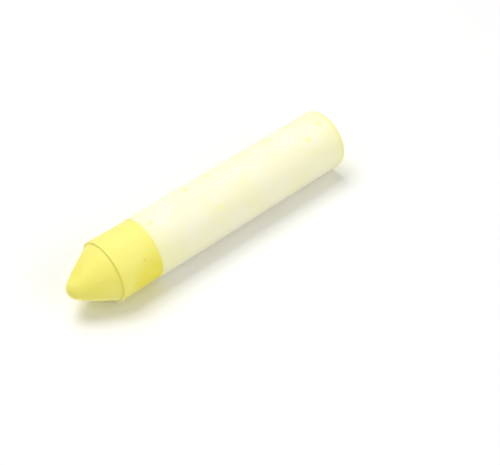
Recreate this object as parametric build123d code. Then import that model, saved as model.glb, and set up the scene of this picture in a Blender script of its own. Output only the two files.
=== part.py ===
from build123d import *
from math import acos, degrees
import os

# A round stick of marking chalk that stands on its flat rear end, with its nose up along +Z.
# The origin is the centre of the rear face, and the paper's lap runs down the back, at +Y.
# All sizes are in millimetres and all angles in degrees.

# The moulded stick
stick_length = 90.0
barrel_diameter = 17.3
rear_edge_radius = 0.4

# The front of the barrel widens slightly, up to a low collar that ends in a flat ledge
flare_length = 8.0
flare_rise = 0.14
collar_width = 1.0
collar_rise = 0.05
collar_slope = 0.3
collar_edge_radius = 0.2
ledge_width = 0.64

# The cone and its blunt nose
nose_length = 11.3
nose_radius = 3.1
nose_slope = 34.0

# The paper wrapper, rolled once round the barrel and glued down on itself
paper_thickness = 0.13
glue_film = 0.03
bare_band = 12.6
rear_margin = 0.5
lap_width = 6.0
lap_direction = 90.0

# Sizes that several outlines share
barrel_radius = barrel_diameter / 2
shoulder_height = stick_length - nose_length
collar_height = shoulder_height - collar_width
flare_top = collar_height - collar_slope
flare_foot = flare_top - flare_length


def collar_outline():
    """From the barrel up the flare and the collar, over its edge and in across the ledge."""
    flare_radius = barrel_radius + flare_rise
    collar_radius = flare_radius + collar_rise
    edge_centre = (collar_radius - collar_edge_radius, shoulder_height - collar_edge_radius)
    Polyline(
        (barrel_radius, flare_foot),
        (flare_radius, flare_top),
        (collar_radius, collar_height),
        (collar_radius, shoulder_height - collar_edge_radius),
    )
    edge = CenterArc(edge_centre, collar_edge_radius, 0, 90)
    return Line(edge @ 1, (collar_radius - ledge_width, shoulder_height))


def nose_outline(cone_base):
    """The cone's side and the round end of the nose on the axis. The side is a little convex: it
    leaves the round end without a corner at the nose's slope and meets the ledge at the cone's base."""
    nose_centre = (0, stick_length - nose_radius)
    nose = CenterArc(nose_centre, nose_radius, 90, nose_slope - 90)
    TangentArc(nose @ 1, cone_base, tangent=nose % 1)


def make_chalk_stick():
    """The solid stick, turned from half of its outline about the axis."""
    with BuildPart() as stick:
        with BuildSketch(Plane.XZ):
            with BuildLine():
                Line((0, stick_length), (0, 0))
                Line((0, 0), (barrel_radius - rear_edge_radius, 0))
                CenterArc(
                    (barrel_radius - rear_edge_radius, rear_edge_radius),
                    rear_edge_radius,
                    -90,
                    90,
                )
                Line((barrel_radius, rear_edge_radius), (barrel_radius, flare_foot))
                ledge = collar_outline()
                nose_outline(ledge @ 1)
            make_face()
        revolve(axis=Axis.Z)
    return stick.part


def make_paper_wrapper():
    """The paper sleeve. Under its lap the paper is double, and beside the lap it runs straight
    from the covered edge until it touches the barrel again."""
    inner_radius = barrel_radius + glue_film
    outer_radius = inner_radius + paper_thickness
    lap_radius = outer_radius + paper_thickness
    lap_angle = degrees(lap_width / outer_radius)
    bridge_angle = degrees(acos(outer_radius / lap_radius))
    lap_start = lap_direction - lap_angle / 2
    bridge_end = lap_start + lap_angle + bridge_angle
    wrapper_length = shoulder_height - bare_band - rear_margin
    with BuildPart() as wrapper:
        with BuildSketch(Plane.XY.offset(rear_margin)):
            with BuildLine():
                lap = CenterArc((0, 0), lap_radius, lap_start, lap_angle)
                single = CenterArc(
                    (0, 0), outer_radius, bridge_end, 360 - lap_angle - bridge_angle
                )
                Line(lap @ 1, single @ 0)
                Line(single @ 1, lap @ 0)
            make_face()
            Circle(inner_radius, mode=Mode.SUBTRACT)
        extrude(amount=wrapper_length)
    return wrapper.part


os.makedirs("parts", exist_ok=True)
export_step(make_chalk_stick(), "parts/chalk_stick.step")
export_step(make_paper_wrapper(), "parts/paper_wrapper.step")
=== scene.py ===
from math import atan2, cos, pi, radians, sin

import bpy
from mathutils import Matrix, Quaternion, Vector


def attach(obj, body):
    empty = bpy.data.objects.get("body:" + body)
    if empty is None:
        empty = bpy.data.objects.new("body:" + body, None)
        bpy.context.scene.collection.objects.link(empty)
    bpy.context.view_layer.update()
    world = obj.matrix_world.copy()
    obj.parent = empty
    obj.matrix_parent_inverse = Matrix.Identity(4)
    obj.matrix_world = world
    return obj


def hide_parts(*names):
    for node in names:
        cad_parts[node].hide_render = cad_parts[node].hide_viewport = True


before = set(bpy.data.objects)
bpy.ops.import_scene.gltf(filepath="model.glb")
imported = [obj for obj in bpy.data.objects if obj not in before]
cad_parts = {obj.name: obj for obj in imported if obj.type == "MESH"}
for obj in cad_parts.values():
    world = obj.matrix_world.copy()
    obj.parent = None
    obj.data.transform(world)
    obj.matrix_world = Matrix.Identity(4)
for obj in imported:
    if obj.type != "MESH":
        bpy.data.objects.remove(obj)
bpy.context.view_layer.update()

# The stick is cast in one piece from coloured chalk bound with wax. The barrel widens a little
# towards the open end of its mould and ends there in a low collar. Inside the collar's flat front
# stands the cone, with a slightly convex side and a blunt nose.
MM = 0.001
stick_length = 90.0 * MM
barrel_radius = 8.65 * MM
rear_edge_radius = 0.4 * MM
flare_length = 8.0 * MM
flare_rise = 0.14 * MM
collar_width = 1.0 * MM
collar_rise = 0.05 * MM
collar_slope = 0.3 * MM
collar_edge_radius = 0.2 * MM
ledge_width = 0.64 * MM
nose_length = 11.3 * MM
nose_radius = 3.1 * MM
nose_slope = radians(34.0)
wrapper_front = 66.1 * MM
sides_round = 240
edge_steps = 4
cast_unevenness = 0.03 * MM
cast_lump = 5 * MM
doubles_gap = 0.002 * MM
sharpest_smooth = radians(32)


def deselect_all():
    """Lets go of every object, the CAD nodes too, so that an operator acts on new work alone."""
    bpy.ops.object.select_all(action="DESELECT")


def finish_object(name):
    """Names the active object, merges its doubles, turns its faces outward and smooths its curves."""
    piece = bpy.context.object
    piece.name = name
    piece.data.name = name
    bpy.ops.object.mode_set(mode="EDIT")
    bpy.ops.mesh.select_all(action="SELECT")
    bpy.ops.mesh.remove_doubles(threshold=doubles_gap)
    bpy.ops.mesh.normals_make_consistent(inside=False)
    bpy.ops.object.mode_set(mode="OBJECT")
    bpy.ops.object.transform_apply(location=True, rotation=True, scale=True)
    bpy.ops.object.shade_smooth_by_angle(angle=sharpest_smooth)
    return piece


def roughen(piece, strength, size, points):
    """Pushes the points in by a soft cloud pattern, as a cast or rolled surface is uneven. A mid
    level near 1 keeps nearly all of the pattern inside the true size."""
    held = piece.vertex_groups.new(name="uneven")
    held.add(points, 1.0, "REPLACE")
    clouds = bpy.data.textures.new("clouds", "CLOUDS")
    clouds.noise_scale = size
    clouds.noise_depth = 2
    mostly_inward = 0.8
    push = piece.modifiers.new("uneven", "DISPLACE")
    push.texture = clouds
    push.texture_coords = "LOCAL"
    push.vertex_group = "uneven"
    push.strength = strength
    push.mid_level = mostly_inward
    bpy.ops.object.modifier_apply(modifier="uneven")
    piece.vertex_groups.remove(piece.vertex_groups["uneven"])
    bpy.data.textures.remove(clouds)


def run_between(first, last, steps):
    """Places evenly spaced from just after the first to the last."""
    places = []
    for step in range(1, steps + 1):
        part = step / steps
        places.append((first[0] + (last[0] - first[0]) * part, first[1] + (last[1] - first[1]) * part))
    return places


def barrel_outline():
    """Radius and height from the flat of the rear face up to the foot of the flare."""
    points = []
    for step in range(edge_steps + 1):
        angle = step / edge_steps * pi / 2
        out = barrel_radius - rear_edge_radius * (1 - sin(angle))
        points.append((out, rear_edge_radius * (1 - cos(angle))))
    flare_foot = stick_length - nose_length - collar_width - collar_slope - flare_length
    paper_end = (barrel_radius, wrapper_front - 0.3 * MM)
    points += run_between(points[-1], paper_end, 24)
    points += run_between(paper_end, (barrel_radius, flare_foot), 6)
    return points


def collar_outline():
    """Up the flare and the collar, over the collar's rounded edge and in across the flat ledge."""
    shoulder = stick_length - nose_length
    flare_radius = barrel_radius + flare_rise
    collar_radius = flare_radius + collar_rise
    flare_top = shoulder - collar_width - collar_slope
    points = run_between((barrel_radius, flare_top - flare_length), (flare_radius, flare_top), 14)
    points += run_between(points[-1], (collar_radius, shoulder - collar_width), 2)
    points += run_between(points[-1], (collar_radius, shoulder - collar_edge_radius), 2)
    edge_centre = collar_radius - collar_edge_radius
    for step in range(1, edge_steps + 1):
        angle = step / edge_steps * pi / 2
        out = edge_centre + collar_edge_radius * cos(angle)
        points.append((out, shoulder - collar_edge_radius * (1 - sin(angle))))
    points += run_between(points[-1], (collar_radius - ledge_width, shoulder), 3)
    return points


def cone_outline():
    """Up the cone's convex side and round the nose that it runs into, as far as a small flat cap."""
    base = Vector((barrel_radius + flare_rise + collar_rise - ledge_width, stick_length - nose_length))
    nose_centre = Vector((0, stick_length - nose_radius))
    outward = Vector((cos(nose_slope), sin(nose_slope)))
    touch = nose_centre + outward * nose_radius
    chord = base - touch
    side_radius = -chord.length_squared / (2 * chord.dot(outward))
    side_centre = touch - outward * side_radius
    base_angle = atan2(base.y - side_centre.y, base.x - side_centre.x)
    points = []
    side_steps = 20
    for step in range(1, side_steps + 1):
        angle = base_angle + (nose_slope - base_angle) * step / side_steps
        out = side_centre.x + side_radius * cos(angle)
        points.append((out, side_centre.y + side_radius * sin(angle)))
    round_steps = 14
    for step in range(1, round_steps):
        angle = nose_slope + (pi / 2 - nose_slope) * step / round_steps
        points.append((nose_radius * cos(angle), nose_centre.y + nose_radius * sin(angle)))
    return points


outline = barrel_outline() + collar_outline() + cone_outline()
deselect_all()
first_radius, first_height = outline[0]
bpy.ops.mesh.primitive_circle_add(
    vertices=sides_round, radius=first_radius, fill_type="NGON", location=(0, 0, first_height)
)
bpy.ops.object.mode_set(mode="EDIT")
bpy.ops.mesh.select_mode(type="FACE")
bpy.ops.mesh.select_all(action="SELECT")
radius, height = first_radius, first_height
for next_radius, next_height in outline[1:]:
    bpy.ops.mesh.extrude_region_move(
        TRANSFORM_OT_translate={"value": (0, 0, next_height - height)}
    )
    growth = next_radius / radius
    bpy.ops.transform.resize(value=(growth, growth, 1), center_override=(0, 0, next_height))
    radius, height = next_radius, next_height
# The small cap at the tip is drawn up to a point, which closes the nose.
bpy.ops.mesh.poke(offset=stick_length - height)
bpy.ops.object.mode_set(mode="OBJECT")
stick = finish_object("cast_stick")
uneven_points = [v.index for v in stick.data.vertices if v.co.z > 2 * rear_edge_radius]
roughen(stick, cast_unevenness, cast_lump, uneven_points)


class Shade:
    """One socket of a material. Python's operators on it add Math nodes."""

    def __init__(self, tree, socket=None):
        self.tree = tree
        self.socket = socket

    def node(self, kind, settings, inputs, output=0):
        """Adds a node, sets it up, fills its sockets and hands back one of its outputs."""
        made = self.tree.nodes.new(kind)
        for name, value in settings.items():
            setattr(made, name, value)
        for key, value in inputs.items():
            if isinstance(value, Shade):
                self.tree.links.new(value.socket, made.inputs[key])
            else:
                made.inputs[key].default_value = value
        if not made.outputs:
            return None
        return Shade(self.tree, made.outputs[output])

    def maths(self, operation, first, second):
        return self.node("ShaderNodeMath", {"operation": operation}, {0: first, 1: second})

    def __add__(self, other):
        return self.maths("ADD", self, other)

    def __radd__(self, other):
        return self.maths("ADD", other, self)

    def __sub__(self, other):
        return self.maths("SUBTRACT", self, other)

    def __rsub__(self, other):
        return self.maths("SUBTRACT", other, self)

    def __mul__(self, other):
        return self.maths("MULTIPLY", self, other)

    def __rmul__(self, other):
        return self.maths("MULTIPLY", other, self)

    def at_most(self, limit):
        return self.maths("MINIMUM", self, limit)

    def rise(self, low, high):
        """0 below low, 1 above high and a smooth rise between them."""
        inputs = {"Value": self, "From Min": low, "From Max": high}
        return self.node("ShaderNodeMapRange", {"interpolation_type": "SMOOTHSTEP"}, inputs)

    def millimetres(self):
        """The place on the piece, in millimetres."""
        place = self.node("ShaderNodeTexCoord", {}, {}, "Object")
        inputs = {0: place, "Scale": 1000.0}
        return self.node("ShaderNodeVectorMath", {"operation": "SCALE"}, inputs)

    def stretch(self, along_x, along_y, along_z):
        inputs = {0: self, 1: (along_x, along_y, along_z)}
        return self.node("ShaderNodeVectorMath", {"operation": "MULTIPLY"}, inputs)

    def height(self):
        return self.node("ShaderNodeSeparateXYZ", {}, {0: self}, "Z")

    def from_axis(self):
        """How far the place lies from the stick's axis."""
        flat = self.stretch(1, 1, 0)
        return self.node("ShaderNodeVectorMath", {"operation": "LENGTH"}, {0: flat}, "Value")

    def noise(self, size, detail=3.0, seed=0.0):
        """Soft random pattern whose lumps are about this many millimetres wide, near 0.5."""
        inputs = {"Vector": self, "W": seed, "Scale": 1 / size, "Detail": detail}
        return self.node("ShaderNodeTexNoise", {"noise_dimensions": "4D"}, inputs)

    def spot(self, angle, height, distance, size):
        """1 inside a soft round spot at this angle, height and distance from the axis, else 0."""
        place = (distance * cos(radians(angle)), distance * sin(radians(angle)), height)
        inputs = {0: self, 1: place}
        away = self.node("ShaderNodeVectorMath", {"operation": "DISTANCE"}, inputs, "Value")
        return 1 - away.rise(size * 0.25, size * 0.75)

    def spots(self, marks):
        """Adds up spots, each given by its angle, height, distance from the axis, size and strength."""
        added = 0
        for angle, height, distance, size, strength in marks:
            added = self.spot(angle, height, distance, size) * strength + added
        return added

    def blend(self, first, second):
        """Mixes two colours by this value."""
        inputs = {0: self, 6: first, 7: second}
        return self.node("ShaderNodeMix", {"data_type": "RGBA"}, inputs, 2)

    def bump(self, distance, strength):
        """A bump whose full height is this many metres."""
        inputs = {"Height": self, "Distance": distance, "Strength": strength}
        return self.node("ShaderNodeBump", {}, inputs)


def new_material(name):
    """An empty material with an output, and a Shade that adds to it."""
    material = bpy.data.materials.new(name)
    material.use_nodes = True
    material.node_tree.nodes.clear()
    return material, Shade(material.node_tree)


def surface(shade, kind_inputs):
    """Joins a Principled shader with these inputs to the material's output."""
    skin = shade.node("ShaderNodeBsdfPrincipled", {}, kind_inputs)
    shade.node("ShaderNodeOutputMaterial", {}, {"Surface": skin})


# Yellow pigment in chalk and wax: patches of deeper yellow, a dusting of paler powder, a dull line of
# painted shade where the ledge meets the cone, and a few small marks. The bare band has a painted
# highlight, paler, on its lit upper side, and painted shade, deeper yellow, on its lower side.
deep_yellow = (0.945, 0.862, 0.135, 1)
plain_yellow = (0.955, 0.888, 0.175, 1)
powder_and_highlight_yellow = (0.96, 0.915, 0.30, 1)
painted_shade_yellow = (0.92, 0.805, 0.045, 1)
painted_crease_shade = (0.66, 0.57, 0.12, 1)
brown_mark = (0.74, 0.55, 0.12, 1)
red_mark = (0.93, 0.62, 0.24, 1)
# Each mark has its angle round the stick, height, distance from the axis, size and strength.
# Painted highlight: a broad paler spot on the band's lit upper side.
painted_highlight_side = [(-45, 72, 8.7, 16, 0.4)]
# Painted shade: two broad deeper yellow spots on the band's lower side.
painted_shade_side = [(-158, 69, 8.7, 12, 0.95), (-215, 68, 8.7, 12, 0.6)]
brown_marks = [
    (-111, 70.6, 8.7, 0.8, 0.22),
    (-116.8, 69.3, 8.65, 0.9, 0.14),
    (-132, 77.7, 8.8, 0.7, 0.15),
    (-110.5, 83.6, 5.6, 0.9, 0.07),
    (-112, 82.7, 6.1, 0.9, 0.12),
    (-113.3, 81.8, 6.6, 0.9, 0.08),
]
red_marks = [(-147, 66.8, 8.65, 1.2, 0.4), (-86, 88.5, 2.6, 1.1, 0.2)]

chalk, shade = new_material("wax_chalk")
place = shade.millimetres()
patches = place.noise(size=5.0, detail=2.0).rise(0.35, 0.65)
powder = place.noise(size=0.45, detail=4.0, seed=3.0)
colour = patches.blend(plain_yellow, deep_yellow)
colour = (powder.rise(0.5, 0.75) * 0.45).blend(colour, powder_and_highlight_yellow)
# Painted highlight: the band is painted paler on its lit upper side.
colour = place.spots(painted_highlight_side).blend(colour, powder_and_highlight_yellow)
# Painted shade: the band is painted deeper yellow on its lower side, broken up in patches.
shade_side_breakup = 0.65 + 0.35 * place.noise(size=3.0, seed=14.0).rise(0.35, 0.6)
colour = (place.spots(painted_shade_side) * shade_side_breakup).blend(colour, painted_shade_yellow)
shoulder_mm = (stick_length - nose_length) / MM
cone_base_mm = (barrel_radius + flare_rise + collar_rise - ledge_width) / MM
out = place.from_axis()
up = place.height()
# Painted shade: a dull darker line in the crease where the ledge meets the cone, in patches.
in_crease = out.rise(cone_base_mm - 0.2, cone_base_mm - 0.05)
in_crease = in_crease * (1 - out.rise(cone_base_mm + 0.05, cone_base_mm + 0.3))
in_crease = in_crease * up.rise(shoulder_mm - 0.1, shoulder_mm - 0.02)
in_crease = in_crease * (1 - up.rise(shoulder_mm + 0.05, shoulder_mm + 0.3))
crease_shade_patches = place.noise(size=4.0, seed=7.0).rise(0.3, 0.6)
colour = (in_crease * (0.08 + 0.25 * crease_shade_patches)).blend(colour, painted_crease_shade)
broken_up = 0.5 + place.noise(size=0.5, detail=2.0, seed=9.0).rise(0.3, 0.6)
colour = (place.spots(brown_marks) * broken_up).blend(colour, brown_mark)
colour = place.spots(red_marks).blend(colour, red_mark)
gloss = 0.47 + 0.12 * powder
relief = place.noise(size=0.5, detail=5.0, seed=5.0) * 0.6 + place.noise(size=2.5, detail=2.0, seed=6.0)
surface(
    shade,
    {
        "Base Color": colour,
        "Roughness": gloss,
        "IOR": 1.55,
        "Normal": relief.bump(0.04 * MM, 0.6),
    },
)
stick.data.materials.append(chalk)
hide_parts("chalk_stick")
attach(stick, "root")

# The wrapper is one strip of thin uncoated paper, rolled once round the barrel and glued down on
# its own edge along the back. It is cut square at both ends and leaves the front of the barrel bare.
# Its outside is at the true radius, and it is thin enough for a hair's gap between the lap's layers.
paper_thickness = 0.1 * MM
paper_outside = 8.81 * MM
wrapper_rear = 0.5 * MM
lap_middle = 90.0
lap_angle = 39.0
bridge_angle = 9.8
seam_gap = 0.02 * MM
paper_unevenness = 0.02 * MM
paper_wave = 7 * MM
pressed_end = 0.0085
thinned_end = 0.3
rows = 110
lap_steps = 26
bridge_steps = 6
single_steps = 234

# The strip starts at its free edge, on top of the lap, and its middle line runs round from there.
free_edge = lap_middle - lap_angle / 2
outer_line = paper_outside + seam_gap + paper_thickness / 2
inner_line = paper_outside - paper_thickness / 2
deselect_all()
bpy.ops.mesh.primitive_plane_add(size=1, location=(0, 0, 0))
bpy.ops.object.mode_set(mode="EDIT")
bpy.ops.mesh.select_mode(type="VERT")
bpy.ops.mesh.select_all(action="SELECT")
bpy.ops.mesh.merge(type="CENTER")
start = (
    outer_line * cos(radians(free_edge)),
    outer_line * sin(radians(free_edge)),
    wrapper_rear,
)
bpy.ops.transform.translate(value=start)
row_height = (wrapper_front - wrapper_rear) / rows
for row in range(rows):
    bpy.ops.mesh.extrude_region_move(TRANSFORM_OT_translate={"value": (0, 0, row_height)})
bpy.ops.mesh.select_all(action="SELECT")


def roll_on(steps, degrees_on):
    """Rolls the selected edge of the strip on round the stick, anticlockwise from above the nose."""
    bpy.ops.mesh.spin(
        steps=steps, angle=-radians(degrees_on), center=(0, 0, 0), axis=(0, 0, 1), dupli=False
    )


roll_on(lap_steps, lap_angle)
# Past the lap the strip comes down from the paper under it to the barrel.
turn = bridge_angle / bridge_steps
shrink = 1 + (inner_line / outer_line - 1) / bridge_steps
for step in range(bridge_steps):
    bpy.ops.mesh.extrude_region_move(TRANSFORM_OT_translate={"value": (0, 0, 0)})
    bpy.ops.transform.rotate(value=-radians(turn), orient_axis="Z", center_override=(0, 0, 0))
    bpy.ops.transform.resize(value=(shrink, shrink, 1), center_override=(0, 0, 0))
roll_on(single_steps, 360 - bridge_angle)
wrapper = finish_object("rolled_paper")
roughen(wrapper, paper_unevenness, paper_wave, [v.index for v in wrapper.data.vertices])

# Both ends are pressed down on to the barrel.
pressed = 1 - pressed_end
for end in (wrapper_rear, wrapper_front):
    bpy.ops.object.mode_set(mode="EDIT")
    bpy.ops.mesh.select_all(action="DESELECT")
    bpy.ops.object.mode_set(mode="OBJECT")
    for vertex in wrapper.data.vertices:
        vertex.select = abs(vertex.co.z - end) < row_height / 2
    bpy.ops.object.mode_set(mode="EDIT")
    bpy.ops.transform.resize(value=(pressed, pressed, 1), center_override=(0, 0, 0))
    bpy.ops.object.mode_set(mode="OBJECT")

# Cream paper, clean or soaked with wax in patches. Chalk has rubbed off on it as fine dust, most of it
# at both ends, and in single smudges. Broad yellower spots along its lower side are painted shade.
clean_paper = (0.99, 0.965, 0.75, 1)
waxed_paper = (0.985, 0.95, 0.655, 1)
chalky_and_shaded_paper = (0.97, 0.95, 0.44, 1)
grey_paper = (0.86, 0.83, 0.60, 1)
# Each smudge, and each broad spot of painted shade, has its angle round the stick, height, distance
# from the axis, size and strength.
smudge_and_shade_marks = [
    (-35.8, 48.5, 8.8, 1.7, 1.0),
    (-60, 63.6, 8.8, 1.5, 0.8),
    (-80, 9.9, 8.8, 1.7, 0.9),
    (-63.5, 3.6, 8.8, 1.8, 0.7),
    (-27, 10.8, 8.8, 2.0, 0.5),
    (-101, 44.3, 8.8, 2.0, 0.5),
    (-114, 19.3, 8.8, 1.3, 0.5),
    (-107, 10.4, 8.8, 1.4, 0.5),
    (-32, 30.0, 8.8, 1.8, 0.3),
    (-28, 40.8, 8.8, 2.0, 0.3),
    (-32, 19.2, 8.8, 2.6, 0.35),
    (-112, 42.0, 8.8, 1.4, 0.3),
    # Painted shade: the broad spots from here down make the paper yellower along its shaded lower side.
    (-129, 6, 8.8, 14, 0.25),
    (-128, 20, 8.8, 14, 0.25),
    (-128, 34, 8.8, 14, 0.2),
    (-128, 48, 8.8, 14, 0.2),
    (-130, 62, 8.8, 12, 0.35),
]

paper, shade = new_material("label_paper")
place = shade.millimetres()
colour = place.noise(size=6.0, seed=2.0).rise(0.35, 0.65).blend(clean_paper, waxed_paper)
dust = place.noise(size=1.2, seed=4.0).rise(0.56, 0.72) * 0.25
front_rub = place.height().rise(60.0, 66.5) * 0.3
rear_rub = (1 - place.height().rise(0.0, 8.0)) * 0.36
front_edge = place.height().rise(64.9, 66.1) * 0.45
rear_edge = (1 - place.height().rise(0.6, 2.4)) * 0.45
ends = (front_rub + front_edge + rear_rub + rear_edge) * (0.5 + place.noise(size=2.5, seed=5.0))
smudge_and_shade_mask = place.spots(smudge_and_shade_marks) * (0.55 + 0.9 * place.noise(size=0.7, seed=8.0))
colour = (dust + ends + smudge_and_shade_mask).at_most(1.0).blend(colour, chalky_and_shaded_paper)
specks = place.noise(size=0.5, detail=1.0, seed=11.0).rise(0.70, 0.78) * 0.5
colour = specks.blend(colour, grey_paper)
fibres = place.stretch(1, 1, 0.35).noise(size=0.35, detail=4.0, seed=12.0)
fibres = fibres + 0.6 * place.noise(size=1.5, seed=13.0)
surface(
    shade,
    {
        "Base Color": colour,
        "Roughness": 0.6,
        "IOR": 1.5,
        "Sheen Weight": 0.1,
        "Sheen Roughness": 0.5,
        "Normal": fibres.bump(0.02 * MM, 0.5),
    },
)
wrapper.data.materials.append(paper)
# The paper has its full thickness up to its ends, where it is pressed thin.
first_row = wrapper_rear + row_height / 2
last_row = wrapper_front - row_height / 2
full = wrapper.vertex_groups.new(name="full")
full.add([v.index for v in wrapper.data.vertices if first_row < v.co.z < last_row], 1.0, "REPLACE")
wall = wrapper.modifiers.new("thickness", "SOLIDIFY")
wall.thickness = paper_thickness
wall.offset = 0
wall.vertex_group = "full"
wall.thickness_vertex_group = thinned_end
bpy.ops.object.modifier_apply(modifier="thickness")
wrapper.vertex_groups.clear()
bpy.ops.object.shade_smooth_by_angle(angle=sharpest_smooth)
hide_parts("paper_wrapper")
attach(wrapper, "root")

# The pale table that the stick lies on in the photograph is an upright sheet here, because the
# part stands on its rear face. It touches the paper along one line and shows only from its front.
sheet_turn = 36.758
sheet_size = 0.45
sheet_gap = 0.02 * MM
sheet_white = (0.97, 0.97, 0.965, 1)
sheet_glow = 0.01
unlit_by_it = 6 * MM
lit_by_it = 18 * MM
deselect_all()
bpy.ops.mesh.primitive_plane_add(size=sheet_size, rotation=(radians(90), 0, radians(sheet_turn)))
sheet = bpy.context.object
sheet.name = "table_sheet"
facing = Vector((sin(radians(sheet_turn)), -cos(radians(sheet_turn)), 0))
sheet.location = -facing * (paper_outside + sheet_gap) + Vector((0, 0, stick_length / 2))
bpy.ops.object.transform_apply(location=True, rotation=True, scale=True)
white, shade = new_material("table_white")
lit = shade.node("ShaderNodeBsdfDiffuse", {}, {"Color": sheet_white})
glow = shade.node("ShaderNodeEmission", {}, {"Color": sheet_white, "Strength": sheet_glow})
face = shade.node("ShaderNodeAddShader", {}, {0: lit, 1: glow})
clear = shade.node("ShaderNodeBsdfTransparent", {}, {})
seen = shade.node("ShaderNodeLightPath", {}, {}, "Is Camera Ray")
seen = seen + shade.node("ShaderNodeLightPath", {}, {}, "Is Glossy Ray")
seen = seen + shade.node("ShaderNodeLightPath", {}, {}, "Is Transmission Ray")
# The far parts of the sheet light the stick, but not the part beside the line where they touch,
# which would be a dark stripe down the stick's back. The back lamp lights that side through it.
scattered = shade.node("ShaderNodeLightPath", {}, {}, "Is Diffuse Ray")
run = shade.node("ShaderNodeLightPath", {}, {}, "Ray Length")
seen = seen + scattered * run.rise(unlit_by_it, lit_by_it)
# Light that has already bounced once meets the whole sheet, so that the stick's shadow is true.
bounces = shade.node("ShaderNodeLightPath", {}, {}, "Diffuse Depth") - scattered
seen = (seen + bounces.rise(0.4, 0.6)).at_most(1.0)
behind = shade.node("ShaderNodeNewGeometry", {}, {}, "Backfacing")
both = shade.node("ShaderNodeMixShader", {}, {0: seen * (1 - behind), 1: clear, 2: face})
shade.node("ShaderNodeOutputMaterial", {}, {"Surface": both})
sheet.data.materials.append(white)

# The world is a plain white studio. It shows as white, and lights the stick at a lower level.
ambient_level = 0.40
studio = bpy.data.worlds.new("studio")
studio.use_nodes = True
studio.node_tree.nodes.clear()
shade = Shade(studio.node_tree)
seen = shade.node("ShaderNodeLightPath", {}, {}, "Is Camera Ray")
seen = seen + shade.node("ShaderNodeLightPath", {}, {}, "Is Glossy Ray")
level = ambient_level + (1 - ambient_level) * seen.at_most(1.0)
sky = shade.node("ShaderNodeBackground", {}, {"Color": (1, 1, 1, 1), "Strength": level})
shade.node("ShaderNodeOutputWorld", {}, {"Surface": sky})
bpy.context.scene.world = studio

# Three soft lamps stand round the stick. The strongest lights its upper side in the photograph's
# view, the front one softens the shade on the other side, and the back one lights its back.
lamp_distance = 0.7


def soft_lamp(name, direction, size, power):
    """A square area lamp that faces the middle of the stick from this direction."""
    middle = Vector((0, 0, stick_length / 2))
    place = middle + Vector(direction).normalized() * lamp_distance
    deselect_all()
    bpy.ops.object.light_add(type="AREA", location=place)
    lamp = bpy.context.object
    lamp.name = name
    lamp.data.shape = "SQUARE"
    lamp.data.size = size
    lamp.data.energy = power
    lamp.rotation_euler = (middle - place).to_track_quat("-Z", "Y").to_euler()


soft_lamp("overhead_lamp", (0.81, -0.58, 0.08), 0.44, 3.2)
soft_lamp("front_lamp", (-0.38, -0.92, -0.25), 0.50, 1.25)
soft_lamp("back_lamp", (-0.20, 0.98, 0.10), 0.60, 2.3)

# The camera looks along the photograph's view line, rolled so that the stick lies as it does there.
view_place = Vector((-11.521, -315.324, 205.829)) * MM
view_target = Vector((-11.521, 0.0, 36.378)) * MM
view_roll = -122.364
deselect_all()
bpy.ops.object.camera_add(location=view_place)
camera = bpy.context.object
camera.name = "photograph_camera"
camera.data.lens = 94.63
camera.data.sensor_width = 36
camera.data.clip_start = 0.01
level_turn = (view_target - view_place).to_track_quat("-Z", "Y")
camera.rotation_euler = (level_turn @ Quaternion((0, 0, 1), radians(view_roll))).to_euler()
bpy.context.scene.camera = camera
bpy.context.scene.view_settings.view_transform = "Standard"
